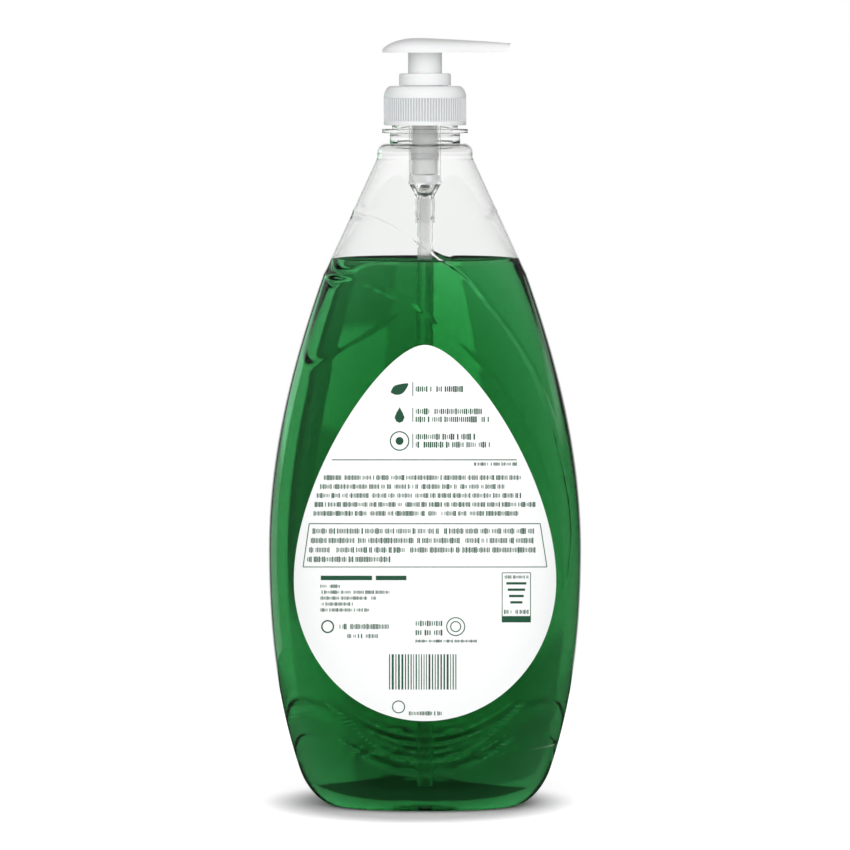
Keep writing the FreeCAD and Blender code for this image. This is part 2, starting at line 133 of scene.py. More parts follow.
def body_point(turns, z, inset):
    """x and y of the belly, or of the cone over it, at height z and drawn in by inset."""
    half_width, half_depth, power = belly_halves(min(z, crease_height))
    c, s = np.cos(turns), np.sin(turns)
    x = np.sign(c) * np.abs(c) ** (2 / power) * (half_width - inset)
    y = np.sign(s) * np.abs(s) ** (2 / power) * (half_depth - inset)
    if z > crease_height:
        cone_height = collar_base - crease_height
        share = (z - crease_height) / (cone_height + 1)
        tip = collar_radius - (crease_half_width - collar_radius) / cone_height - inset
        x = x + (tip * c - x) * share
        y = y + (tip * s - y) * share
    return x, y


def smooth_line(points, count):
    """Points on a smooth curve through the given ones, evenly shared between them."""
    points = np.array(points)
    at = np.linspace(0, len(points) - 1.001, count)
    k = at.astype(int)
    t = (at - k)[:, None]
    before = points[np.maximum(k - 1, 0)]
    start, end = points[k], points[k + 1]
    after = points[np.minimum(k + 2, len(points) - 1)]
    return eased(t, start, end, (end - before) / 2, (after - start) / 2)


outer_edge = smooth_line(outer_line, 500)
inner_edge = smooth_line(inner_line, 500)


def edge_x(edge, z):
    """Where an edge of the swoosh crosses height z."""
    return np.interp(z, edge[::-1, 1], edge[::-1, 0])


def distance_inside(edge, x, z):
    """Distance to an edge of the swoosh, positive on the label's side of it."""
    reach = np.full(x.shape, 1e9)
    for px, pz in edge:
        reach = np.minimum(reach, (x - px) ** 2 + (z - pz) ** 2)
    inside = (x < edge_x(edge, z)) & (z < edge[0, 1])
    return np.sqrt(reach) * np.where(inside, 1, -1)


def face_relief(x, z):
    """Depth of the relief in the front face at x, z: positive is sunk, negative stands proud."""
    past_ridge = distance_inside(outer_edge, x, z)
    past_line = distance_inside(inner_edge, x, z)
    run_out = step_up(z, 78, 92) * (1 - 0.72 * step_up(z, 200, 216))
    band = 0.22 + 0.36 * np.exp(-np.maximum(past_ridge, 0) / 6)
    band = band * step_up(past_ridge, -0.4, 0.5) * (1 - step_up(past_line, -0.9, 0.5))
    bead = 0.34 * np.exp(-((past_ridge + 0.9) / 0.62) ** 2)
    lip = 0.12 * np.exp(-((past_line - 0.9) / 0.8) ** 2)
    depth = (band - bead - lip) * run_out
    for half_width, tips, top, bottom, ridge_count in (upper_crescent + (3,), lower_crescent + (1,)):
        bow = np.clip(1 - (x / half_width) ** 2, 0, 1)
        top_line = tips - (tips - top) * bow
        bottom_line = tips - (tips - bottom) * bow
        height = np.maximum(top_line - bottom_line, 0.5)
        inside = step_up(z, bottom_line - 0.4, bottom_line + 0.4)
        inside = inside * (1 - step_up(z, top_line - 0.4, top_line + 0.4))
        share = np.clip((z - bottom_line) / height, 0, 1)
        ridges = 0.3 * np.abs(np.cos(share * ridge_count * math.pi)) ** 6 * step_up(height, 2, 5)
        lip = 0.2 * np.exp(-((z - top_line - 0.7) / 0.6) ** 2) * step_up(bow, 0.04, 0.2)
        depth = depth + (0.55 - ridges) * inside * step_up(bow, 0.02, 0.2) - lip
    return depth


def relief(x, y, z):
    """The front face's relief, and the same on the back, turned half round."""
    z = np.full(x.shape, float(z))
    # Both run out softly at the sides, the front one only towards its lower right end.
    front = face_relief(x, z) * step_up(-y, -9, 1) * (1 - 0.6 * step_up(x, 43, 53) * step_up(z, 60, 90))
    back = face_relief(-x, z) * step_up(y, -9, 1) * (0.42 - 0.22 * step_up(z, 204, 214))
    back = back * (1 - step_up(np.abs(x), 36, 46))
    return front + back


def column_turns(z):
    """Turns of the columns in the row at height z. They crowd towards the edges of the swoosh."""
    fine = np.linspace(math.pi, 2 * math.pi, 900)
    crowd = np.ones_like(fine)
    half_width, half_depth, power = belly_halves(min(z, crease_height))
    half_width = half_width * min(1, (285 - z) / (285 - crease_height))
    for edge, weight in ((outer_edge, 2.6), (inner_edge, 1.2)):
        share = np.clip(edge_x(edge, z) / half_width, -1, 1)
        centre = 2 * math.pi - math.acos(math.copysign(abs(share) ** (power / 2), share))
        crowd += weight * np.exp(-((fine - centre) / 0.07) ** 2)
    run = np.concatenate([[0], np.cumsum((crowd[1:] + crowd[:-1]) / 2)])
    front = np.interp(np.linspace(0, run[-1], half_columns + 1)[:-1], run, fine)
    return np.concatenate([front, front + math.pi])


def flat_row(x, y, z):
    return np.stack([x, y, np.full(x.shape, float(z))], axis=1)


def body_row(z, inset, pressed=True):
    turns = column_turns(z)
    x, y = body_point(turns, z, inset)
    if pressed:
        x, y = body_point(turns, z, inset + relief(x, y, z))
    return flat_row(x, y, z)


def heel_rows(inset, count):
    """From the heel's lowest line up to its top, drawn in as the wall turns under."""
    rows = []
    for step in range(count, 0, -1):
        turn = math.pi / 2 * step / count
        z = heel_height - (heel_height - inset) * math.sin(turn)
        drawn_in = (heel_reach - inset) * (1 - math.cos(turn))
        turns = column_turns(z)
        x, y = body_point(turns, z, inset + drawn_in)
        x, y = body_point(turns, z, inset + drawn_in + relief(x, y, z))
        rows.append(flat_row(x, y, z))
    return rows


def hollow_rows(inset, count):
    """The domed hollow under the base, from its middle out to the ring that the bottle stands on."""
    rows = []
    size = push_up + inset
    turns = column_turns(0)
    for step in range(1, count + 1):
        lean = math.pi / 2 * step / count
        reach = math.sin(lean)
        z = max(size[2] * math.cos(lean), inset)
        rows.append(flat_row(size[0] * reach * np.cos(turns), size[1] * reach * np.sin(turns), z))
    return rows


def round_rows(profile):
    """Rows of circles through a profile of radius and height."""
    rows = []
    for radius, z in profile:
        turns = column_turns(min(z, collar_base))
        rows.append(flat_row(radius * np.cos(turns), radius * np.sin(turns), z))
    return rows


def softened(profile, reach=0.25):
    """The profile with each of its corners cut back and rounded by up to reach."""
    points = [np.array(p, float) for p in profile]
    out = [points[0]]
    for before, here, after in zip(points, points[1:], points[2:]):
        back, ahead = before - here, after - here
        back_size, ahead_size = np.linalg.norm(back), np.linalg.norm(ahead)
        start = here + back / back_size * min(reach, 0.4 * back_size)
        end = here + ahead / ahead_size * min(reach, 0.4 * ahead_size)
        out += [start, (start + 2 * here + end) / 4, end]
    return out + [points[-1]]


def quarter(centre, radius, start, end, steps):
    """Points of an arc in the profile, with angles in degrees from straight out."""
    angles = np.radians(np.linspace(start, end, steps + 1))
    return [(centre[0] + radius * math.cos(a), centre[1] + radius * math.sin(a)) for a in angles]


def skin(rows, first=None, last=None):
    """Points and faces of a closed skin over equal rows. Poles close its ends, or else it joins up."""
    rows = np.array(rows)
    count, width = rows.shape[:2]
    points = rows.reshape(-1, 3)
    index = np.arange(count * width).reshape(count, width)
    low = index if first is None else index[:-1]
    high = np.roll(index, -1, axis=0) if first is None else index[1:]
    quads = np.stack([low, np.roll(low, -1, axis=1), np.roll(high, -1, axis=1), high], axis=-1)
    faces = quads.reshape(-1, 4).tolist()
    if first is not None:
        points = np.concatenate([points, [first, last]])
        low_pole, high_pole = count * width, count * width + 1
        ends = index[0], index[-1]
        faces += [(low_pole, int(b), int(a)) for a, b in zip(ends[0], np.roll(ends[0], -1))]
        faces += [(high_pole, int(a), int(b)) for a, b in zip(ends[1], np.roll(ends[1], -1))]
    return points, faces


def piece_from(name, skins, materials, sharp=35, material_of_face=None):
    """One object, in metres, from skins given in millimetres."""
    points, faces = [], []
    for skin_points, skin_faces in skins:
        start = len(points)
        points += (np.asarray(skin_points) * mm).tolist()
        faces += [[k + start for k in face] for face in skin_faces]
    mesh = bpy.data.meshes.new(name)
    mesh.from_pydata(points, [], faces)
    mesh.shade_smooth()
    mesh.set_sharp_from_angle(angle=math.radians(sharp))
    for material in materials:
        mesh.materials.append(material)
    if material_of_face is not None:
        mesh.polygons.foreach_set("material_index", material_of_face)
    piece = bpy.data.objects.new(name, mesh)
    bpy.context.scene.collection.objects.link(piece)
    return piece


def thread_skin(radius, height, pitch, turns, base, outwards=1):
    """A screw thread: a tapering ridge that winds up round the axis."""
    steps = int(turns * 72)
    rows = []
    for step in range(steps + 1):
        angle = 2 * math.pi * turns * step / steps
        fade = min(1, step / 12, (steps - step) / 12)
        crest = radius + outwards * height * max(fade, 0.05)
        root = radius - outwards * 0.3
        z = base + pitch * turns * step / steps
        section = [(root, z - 1.05), (crest, z - 0.45), (crest, z + 0.45), (root, z + 1.05)][::outwards]
        rows.append([(r * math.cos(angle), r * math.sin(angle), h) for r, h in section])
    rows = np.array(rows)
    return skin(rows, rows[0].mean(axis=0), rows[-1].mean(axis=0))


def new_node(nodes, kind, values=None, **settings):
    """A node with its settings, and plain values on its sockets."""
    node = nodes.new(kind)
    for setting, value in settings.items():
        setattr(node, setting, value)
    for socket, value in (values or {}).items():
        node.inputs[socket].default_value = value
    return node


def new_material(name, values):
    """A material and its shader, with plain values on the shader's sockets."""
    material = bpy.data.materials.new(name)
    material.use_nodes = True
    shader = material.node_tree.nodes["Principled BSDF"]
    for socket, value in values.items():
        shader.inputs[socket].default_value = value
    return material, shader


def grain_group():
    """Fine unevenness of moulded and blown plastic: a wandering roughness and a height for bump."""
    group = bpy.data.node_groups.new("Plastic surface", "ShaderNodeTree")
    face = group.interface
    sizes = (("Scale", 40.0), ("Roughness", 0.3), ("Spread", 0.08), ("Fine scale", 900.0))
    for socket_name, value in sizes:
        face.new_socket(socket_name, in_out="INPUT", socket_type="NodeSocketFloat").default_value = value
    for socket_name in ("Roughness", "Height"):
        face.new_socket(socket_name, in_out="OUTPUT", socket_type="NodeSocketFloat")
    nodes, links = group.nodes, group.links
    given = nodes.new("NodeGroupInput")
    result = nodes.new("NodeGroupOutput")
    place = nodes.new("ShaderNodeTexCoord")
    broad = nodes.new("ShaderNodeTexNoise")
    fine = nodes.new("ShaderNodeTexNoise")
    broad.inputs["Detail"].default_value = 3.0
    fine.inputs["Detail"].default_value = 2.0
    links.new(place.outputs["Object"], broad.inputs["Vector"])
    links.new(place.outputs["Object"], fine.inputs["Vector"])
    links.new(given.outputs["Scale"], broad.inputs["Scale"])
    links.new(given.outputs["Fine scale"], fine.inputs["Scale"])
    centred = new_node(nodes, "ShaderNodeMath", {1: 0.5}, operation="SUBTRACT")
    links.new(broad.outputs["Fac"], centred.inputs[0])
    spread = new_node(nodes, "ShaderNodeMath", operation="MULTIPLY_ADD")
    links.new(centred.outputs[0], spread.inputs[0])
    links.new(given.outputs["Spread"], spread.inputs[1])
    links.new(given.outputs["Roughness"], spread.inputs[2])
    links.new(spread.outputs[0], result.inputs["Roughness"])
    both = new_node(nodes, "ShaderNodeMath", {1: 0.35}, operation="MULTIPLY_ADD")
    links.new(fine.outputs["Fac"], both.inputs[0])
    links.new(broad.outputs["Fac"], both.inputs[2])
    links.new(both.outputs[0], result.inputs["Height"])
    return group


plastic_surface = grain_group()


def add_surface(material, shader, scale, roughness, spread, fine_scale, bump):
    """Places the plastic surface group in a material, with that material's own values."""
    nodes, links = material.node_tree.nodes, material.node_tree.links
    surface = new_node(
        nodes, "ShaderNodeGroup",
        {"Scale": scale, "Roughness": roughness, "Spread": spread, "Fine scale": fine_scale},
        node_tree=plastic_surface)
    links.new(surface.outputs["Roughness"], shader.inputs["Roughness"])
    relief_bump = new_node(nodes, "ShaderNodeBump", {"Strength": bump, "Distance": 0.0004})
    links.new(surface.outputs["Height"], relief_bump.inputs["Height"])
    links.new(relief_bump.outputs["Normal"], shader.inputs["Normal"])
    return surface


pet_values = {"Base Color": (0.985, 0.99, 0.985, 1), "IOR": 1.57, "Transmission Weight": 1.0}
clear_pet, shader = new_material("clear_pet", pet_values)
add_surface(clear_pet, shader, 25.0, 0.02, 0.02, 220.0, 0.02)

# Where the soap wets the wall, hardly any light is turned back.
wet_pet, shader = new_material("wet_pet", {**pet_values, "Specular Tint": (0.08, 0.08, 0.08, 1)})
add_surface(wet_pet, shader, 25.0, 0.02, 0.02, 220.0, 0.02)

body_heights = np.concatenate([
    np.linspace(heel_height, 48, 86)[:-1], np.linspace(48, 150, 50)[:-1],
    np.linspace(150, 235, 94)[:-1], np.linspace(235, collar_base - 1, 8)])
inside_heights = np.concatenate([
    np.linspace(heel_height, 45, 16)[:-1], np.linspace(45, 150, 28)[:-1],
    np.linspace(150, 235, 40)[:-1], np.linspace(235, collar_base - 1, 5)])
collar_top = stub_base - collar_round
neck_profile = softened(
    [(collar_radius, collar_base)]
    + quarter((collar_radius - collar_round, collar_top), collar_round, 0, 90, 6)
    + [(stub_radius, stub_base), (stub_radius, ring_base), (ring_radius, ring_base), (ring_radius, ring_top),
       (finish_radius, ring_top), (finish_radius, land), (bore_radius, land), (bore_radius, land - 5),
       (bore_radius, stub_base - wall)], 0.3)
neck_profile += quarter((collar_radius - collar_round, collar_top), collar_round - wall, 90, 0, 5)
neck_profile += [(collar_radius - wall, collar_base)]
bottle_rows = (
    hollow_rows(0, hollow_row_count) + heel_rows(0, heel_row_count)
    + [body_row(z, 0) for z in body_heights] + round_rows(neck_profile)
    + [body_row(z, wall) for z in inside_heights[::-1]]
    + heel_rows(wall, 8)[::-1] + hollow_rows(wall, 7)[::-1])
bottle_skin = skin(bottle_rows, (0, 0, push_up[2]), (0, 0, push_up[2] + wall))
neck_thread = thread_skin(finish_radius, thread_height, thread_pitch, 1.4, 264.2)
soap_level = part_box("dish_soap")[1].z / mm
outside_rows = hollow_row_count + heel_row_count + len(body_heights) + len(neck_profile)
row_heights = np.array([row[0, 2] for row in bottle_rows])
wet_row = (np.arange(len(bottle_rows)) >= outside_rows) & (row_heights < soap_level)
# After the grid come the faces of the two poles: the outer one is dry and the inner one is wet.
wet_faces = np.repeat(wet_row[:-1], columns).astype(int)
rest_of_faces = np.zeros(2 * columns + len(neck_thread[1]), int)
rest_of_faces[columns:2 * columns] = 1
bottle = piece_from("blown_bottle", [bottle_skin, neck_thread], [clear_pet, wet_pet],
                    material_of_face=np.concatenate([wet_faces, rest_of_faces]))
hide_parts("bottle")
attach(bottle, "bottle")

# The dish soap.
# Clear green liquid, poured to the foot of the cone. It wets the wall, so its skin lies just inside
# the plastic, and it creeps up a little where its surface meets the wall.
wetting = 0.15
creep_height = 0.7
creep_reach = 2.5

green_soap, shader = new_material("green_soap", {
    "Base Color": (1, 1, 1, 1), "IOR": 1.36, "Roughness": 0.0, "Specular Tint": (0, 0, 0, 1),
    "Transmission Weight": 1.0})
absorption = green_soap.node_tree.nodes.new("ShaderNodeVolumeAbsorption")
absorption.inputs["Color"].default_value = (0.04, 0.6, 0.25, 1)
absorption.inputs["Density"].default_value = 70.0
green_soap.node_tree.links.new(
    absorption.outputs["Volume"], green_soap.node_tree.nodes["Material Output"].inputs["Volume"])

# The top of the soap is an opaque face with painted shade in place of the deep liquid seen from above: dark
# green that goes black towards the back.
soap_top_painted_shade, shader = new_material("soap_top_painted_shade", {"Roughness": 0.6, "Specular IOR Level": 0.0})
nodes, links = soap_top_painted_shade.node_tree.nodes, soap_top_painted_shade.node_tree.links
place = nodes.new("ShaderNodeTexCoord")
parts = nodes.new("ShaderNodeSeparateXYZ")
links.new(place.outputs["Object"], parts.inputs[0])
depth = new_node(nodes, "ShaderNodeMapRange",
                 {"From Min": 0.008, "From Max": 0.022}, interpolation_type="SMOOTHSTEP")
links.new(parts.outputs["Y"], depth.inputs["Value"])
painted_shade_colour = new_node(nodes, "ShaderNodeMix",
                       {6: (0.012, 0.12, 0.032, 1), 7: (0.001, 0.006, 0.002, 1)}, data_type="RGBA")
links.new(depth.outputs["Result"], painted_shade_colour.inputs[0])
links.new(painted_shade_colour.outputs[2], shader.inputs["Base Color"])

soap_heights = np.concatenate([
    np.linspace(heel_height, 45, 20)[:-1], np.linspace(45, 150, 36)[:-1],
    np.linspace(150, soap_level - creep_height, 34)])
soap_inset = wall - wetting
soap_rows = (hollow_rows(soap_inset, 7) + heel_rows(soap_inset, 8)
             + [body_row(z, soap_inset) for z in soap_heights])
side_rows = len(soap_rows)
top_rows = 13
rim_x, rim_y = body_point(column_turns(soap_level), soap_level, soap_inset)
for step in range(top_rows):
    share = 1 - step / (top_rows + 1)
    reach = (1 - share) * crease_half_depth
    z = soap_level - creep_height * (1 - math.exp(-reach / creep_reach * 2.5))
    soap_rows.append(flat_row(rim_x * share, rim_y * share, z))
soap_skin = skin(soap_rows, (0, 0, push_up[2] + soap_inset), (0, 0, soap_level - creep_height))
face_count = len(soap_skin[1])
grid_faces = columns * (len(soap_rows) - 1)
face_numbers = np.arange(face_count)
on_top = (face_numbers >= columns * side_rows) & (face_numbers < grid_faces)
on_top = on_top | (face_numbers >= face_count - columns)
soap = piece_from("soap_liquid", [soap_skin], [green_soap, soap_top_painted_shade],
                  material_of_face=on_top.astype(int))
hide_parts("dish_soap")
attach(soap, "bottle")

# The label.
# White plastic film, egg shaped, bent round the front of the belly and glued down. Its print is a dark
# green ink, shown here as plain shapes and rows of bars in the places of the real print.
label_glue = 0.05
label_thickness = 0.12
label_centre = 89.0
label_half_width = 49.9
label_drop = 52.0
label_rise = 90.4
label_shoulder = 39.6
label_tip_width = 15.8


def belly_front(x, z, proud):
    """y of the front of the belly at x, z, with proud added outside it."""
    half_width, half_depth, power = belly_halves(z)
    share = np.clip(np.abs(x) / (half_width + proud), 0, 1)
    return -(half_depth + proud) * (1 - share ** power) ** (1 / power)


white_label, shader = new_material("white_label", {
    "Base Color": (0.93, 0.94, 0.935, 1), "Coat Weight": 0.15, "Coat Roughness": 0.25})
add_surface(white_label, shader, 30.0, 0.42, 0.08, 700.0, 0.05)

edge_points = []
for step in range(1, 46):
    turn = math.pi / 2 * step / 45
    edge_points.append((label_half_width * math.sin(turn), label_centre - label_drop * math.cos(turn)))
for step in range(1, 60):
    t = step / 60
    w = (1 - t) ** 3 + 3 * (1 - t) ** 2 * t
    x = label_half_width * w + 3 * label_tip_width * (1 - t) * t * t
    z = label_centre + 3 * label_shoulder * (1 - t) ** 2 * t + label_rise * (3 * (1 - t) * t * t + t ** 3)
    edge_points.append((x, z))
across = np.sin(np.linspace(-math.pi / 2, math.pi / 2, 101))
label_rows = []
for half, z in edge_points:
    front_x, back_x = across * half, across[::-1] * half
    front_y = belly_front(front_x, z, label_glue + label_thickness)
    back_y = belly_front(back_x, z, label_glue)
    label_rows.append(flat_row(np.append(front_x, back_x), np.append(front_y, back_y), z))
label_ends = []
for z in (label_centre - label_drop, label_centre + label_rise):
    label_ends.append((0, float(belly_front(0, z, label_glue + label_thickness / 2)), z))
label = piece_from("front_label", [skin(label_rows, *label_ends)], [white_label], 60)
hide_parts("label")
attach(label, "bottle")

ink, shader = new_material("label_ink", {"Base Color": (0.008, 0.105, 0.045, 1)})
add_surface(ink, shader, 60.0, 0.45, 0.08, 900.0, 0.03)


def new_tree(name, sizes, finish):
    """A geometry tree with named inputs for its sizes and for its finish."""
    tree = bpy.data.node_groups.new(name, "GeometryNodeTree")
    face = tree.interface
    for socket_name, value in sizes:
        kind = "NodeSocketInt" if isinstance(value, int) else "NodeSocketFloat"
        face.new_socket(socket_name, in_out="INPUT", socket_type=kind).default_value = value
    face.new_socket(finish, in_out="INPUT", socket_type="NodeSocketMaterial")
    face.new_socket("Geometry", in_out="OUTPUT", socket_type="NodeSocketGeometry")
    return tree, tree.nodes, tree.links, tree.nodes.new("NodeGroupInput")


def end_tree(nodes, links, made, finish):
    """Makes the copies real, gives them their finish and puts them out."""
    real = nodes.new("GeometryNodeRealizeInstances")
    links.new(made, real.inputs["Geometry"])
    finished = nodes.new("GeometryNodeSetMaterial")
    links.new(real.outputs["Geometry"], finished.inputs["Geometry"])
    links.new(finish, finished.inputs["Material"])
    links.new(finished.outputs["Geometry"], nodes.new("NodeGroupOutput").inputs["Geometry"])


def print_row_tree():
    """Rows of fine upright strokes of uneven width and height, with gaps, on a flat sheet."""
    sizes = (("Row width", 0.03), ("Strokes", 40), ("Rows", 3), ("Row pitch", 0.003),
             ("Stroke height", 0.0012), ("Stroke width", 0.0004), ("Share printed", 0.85), ("Seed", 1))
    tree, nodes, links, given = new_tree("Print rows", sizes, "Ink")
    places = nodes.new("GeometryNodeMeshGrid")
    gaps = new_node(nodes, "ShaderNodeMath", {1: 1}, operation="SUBTRACT")
    links.new(given.outputs["Rows"], gaps.inputs[0])
    block = new_node(nodes, "ShaderNodeMath", operation="MULTIPLY")
    links.new(gaps.outputs[0], block.inputs[0])
    links.new(given.outputs["Row pitch"], block.inputs[1])
    links.new(given.outputs["Row width"], places.inputs["Size X"])
    links.new(block.outputs[0], places.inputs["Size Y"])
    links.new(given.outputs["Strokes"], places.inputs["Vertices X"])
    links.new(given.outputs["Rows"], places.inputs["Vertices Y"])
    stroke = nodes.new("GeometryNodeMeshCube")
    stroke_size = new_node(nodes, "ShaderNodeCombineXYZ", {"Z": 0.00002})
    links.new(given.outputs["Stroke width"], stroke_size.inputs["X"])
    links.new(given.outputs["Stroke height"], stroke_size.inputs["Y"])
    links.new(stroke_size.outputs[0], stroke.inputs["Size"])
    scale = new_node(nodes, "ShaderNodeCombineXYZ", {"Z": 1})
    for axis, low, high in (("X", 0.6, 1.35), ("Y", 0.72, 1.12)):
        drawn = new_node(nodes, "FunctionNodeRandomValue", {2: low, 3: high}, data_type="FLOAT")
        links.new(given.outputs["Seed"], drawn.inputs["Seed"])
        links.new(drawn.outputs[1], scale.inputs[axis])
    printed = new_node(nodes, "FunctionNodeRandomValue", data_type="BOOLEAN")
    links.new(given.outputs["Share printed"], printed.inputs["Probability"])
    links.new(given.outputs["Seed"], printed.inputs["Seed"])
    placed = nodes.new("GeometryNodeInstanceOnPoints")
    links.new(places.outputs["Mesh"], placed.inputs["Points"])
    links.new(printed.outputs[3], placed.inputs["Selection"])
    links.new(stroke.outputs["Mesh"], placed.inputs["Instance"])
    links.new(scale.outputs[0], placed.inputs["Scale"])
    end_tree(nodes, links, placed.outputs["Instances"], given.outputs["Ink"])
    return tree


def made_by(tree, name, values):
    """Runs a geometry tree with the given inputs and returns what it makes as a plain mesh."""
    carrier = bpy.data.objects.new(name, bpy.data.meshes.new(name + "_carrier"))
    bpy.context.scene.collection.objects.link(carrier)
    modifier = carrier.modifiers.new(name, "NODES")
    modifier.node_group = tree
    for item in tree.interface.items_tree:
        if item.in_out == "INPUT" and item.name in values:
            modifier[item.identifier] = values[item.name]
    seen = bpy.context.evaluated_depsgraph_get()
    mesh = bpy.data.meshes.new_from_object(carrier.evaluated_get(seen))
    bpy.data.objects.remove(carrier)
    return mesh


def mesh_skin(mesh):
    """Points, in millimetres, and faces of a mesh."""
    points = np.array([v.co for v in mesh.vertices]) / mm
    return points, [list(p.vertices) for p in mesh.polygons]


print_proud = label_glue + label_thickness + 0.012
print_depth = 0.02
stroke_pitch = 0.56
eye_height = 290.0
eye_distance = 2000.0
print_rows = print_row_tree()
print_skins = []


def on_label(points, share):
    """Bends flat print, given as x and z, round the label. The share runs from its back to its face.

    The film is cut so that its rows read level from in front, so they sink a little towards its sides."""
    points = np.asarray(points, float)
    x, z = points[:, 0], points[:, 1]
    set_back = belly_front(x, z, 0) - belly_front(0 * x, z, 0)
    z = z - (eye_height - z) * set_back / eye_distance
    low = belly_front(x, z, print_proud)
    return np.stack([x, low - print_depth * (share - 0.5), z], axis=1)


def add_row(left, right, z, height, seed, heavy=1.0):
    """A row of fine strokes from left to right, centred on height z."""
    width = right - left
    strokes = max(2, round(width / stroke_pitch / heavy))
    values = {"Row width": width * mm, "Strokes": strokes, "Rows": 1, "Row pitch": 0.0,
              "Stroke height": height * mm, "Stroke width": 0.36 * heavy * mm, "Share printed": 0.86,
              "Seed": seed, "Ink": ink}
    points, faces = mesh_skin(made_by(print_rows, "print_row", values))
    flat = np.stack([points[:, 0] + (left + right) / 2, points[:, 1] + z], axis=1)
    print_skins.append((on_label(flat, np.where(points[:, 2] > 0, 1.0, 0.0)), faces))


def add_patch(left, low, right, high, lean=0.0):
    """A filled box of ink whose ends lean outwards by lean at its foot, with points enough to bend."""
    columns = max(2, math.ceil((right - left) / 1.5) + 1)
    heights = np.linspace(low, high, max(2, math.ceil((high - low) / 2.5) + 1))
    drop = (high - heights) / max(high - low, 1e-6)
    rows = []
    for share in np.linspace(0, 1, columns):
        x = left + (right - left) * share + lean * (2 * share - 1) * drop
        front = on_label(np.stack([x, heights], axis=1), 1.0)
        back = on_label(np.stack([x, heights], axis=1)[::-1], 0.0)
        rows.append(np.concatenate([front, back]))
    print_skins.append(skin(rows, rows[0].mean(axis=0), rows[-1].mean(axis=0)))


def add_line(start, end, width):
    """A straight line of ink between two points, thin enough to lie true."""
    start, end = np.array(start, float), np.array(end, float)
    along = (end - start) / np.linalg.norm(end - start)
    side = np.array([-along[1], along[0]]) * width / 2
    rows = []
    for share in np.linspace(0, 1, max(2, math.ceil(np.linalg.norm(end - start) / 1.5) + 1)):
        middle = start + (end - start) * share
        edges = np.array([middle - side, middle + side])
        rows.append(np.concatenate([on_label(edges, 1.0), on_label(edges[::-1], 0.0)]))
    print_skins.append(skin(rows, rows[0].mean(axis=0), rows[-1].mean(axis=0)))


def add_disc(outline, middle):
    """A filled round patch: rings from its middle out to the outline, on its back and on its face."""
    outline, middle = np.array(outline, float), np.array(middle, float)
    rings = [middle + (outline - middle) * share for share in (0.35, 0.7, 1.0)]
    rows = [on_label(ring, 0.0) for ring in rings] + [on_label(ring, 1.0) for ring in rings[::-1]]
    centre = on_label([middle, middle], np.array([0.0, 1.0]))
    print_skins.append(skin(rows, centre[0], centre[1]))


def add_ring(middle, radius, line, steps=40, squeeze=1.0):
    """A round line of ink."""
    turns = np.linspace(0, 2 * math.pi, steps, endpoint=False)
    rows = []
    for reach, share in ((radius, 0.0), (radius, 1.0), (radius - line, 1.0), (radius - line, 0.0)):
        x = middle[0] + reach * np.cos(turns)
        z = middle[1] + reach * squeeze * np.sin(turns)
        rows.append(on_label(np.stack([x, z], axis=1), share))
    print_skins.append(skin(rows))


def round_outline(middle, radius, steps=24):
    turns = np.linspace(0, 2 * math.pi, steps, endpoint=False)
    return [(middle[0] + radius * math.cos(t), middle[1] + radius * math.sin(t)) for t in turns]


# Three short claims, each with a small mark, an upright rule and its rows.
icon_x = -9.6
bar_x = -4.6
for mark_z, rows in ((162.9, ((-3.3, 14.0, 0),)), (153.2, ((-3.3, 21.2, 1.3), (-3.3, 23.9, -1.7))),
                     (143.5, ((-3.3, 18.6, 1.5), (-3.3, 24.3, -1.5)))):
    add_line((bar_x, mark_z - 2.6), (bar_x, mark_z + 2.6), 0.32)
    for k, (left, right, rise) in enumerate(rows):
        add_row(left, right, mark_z + rise, 2.1, round(mark_z) + k, 1.35)
leaf = [(-3.4, -1.3), (-1.2, -2.2), (1.4, -1.4), (3.3, 1.9), (0.6, 1.9), (-2.2, 1.0)]
add_disc(smooth_line([(icon_x + x, 162.9 + z) for x, z in leaf + leaf[:1]], 30)[:-1], (icon_x, 162.9))
drop = [(0, 3.0), (-1.2, 0.9), (-1.9, -0.9), (-1.2, -2.4), (0, -2.9), (1.2, -2.4), (1.9, -0.9), (1.2, 0.9)]
add_disc([(icon_x + x, 153.1 + z) for x, z in drop], (icon_x, 152.4))
add_ring((icon_x, 143.4), 3.7, 0.45)
add_disc(round_outline((icon_x, 143.4), 1.5), (icon_x, 143.4))

# The long paragraph under its rule, and the framed one.
add_line((-35.2, 136.3), (34.7, 136.3), 0.36)
add_row(18.2, 34.6, 134.7, 1.2, 3, 0.8)
paragraph_ends = ((-38.1, 36.1), (-39.5, 29.8), (-40.8, 36.1), (-41.6, 41.6), (-42.6, 35.1))
for k, (left, right) in enumerate(paragraph_ends):
    add_row(left, right, 129.6 - 3.38 * k, 1.75, 11 + k)
frame_corners = [(-43.9, 112.2), (43.7, 112.2), (46.3, 95.8), (-46.3, 95.8)]
for start, end in zip(frame_corners, frame_corners[1:] + frame_corners[:1]):
    add_line(start, end, 0.34)
for k, (left, right) in enumerate(((-42.4, 42.3), (-43.1, 40.8), (-43.8, 41.6), (-44.5, -13.4))):
    add_row(left, right, 109.4 - 3.57 * k, 2.0, 21 + k, 1.1)

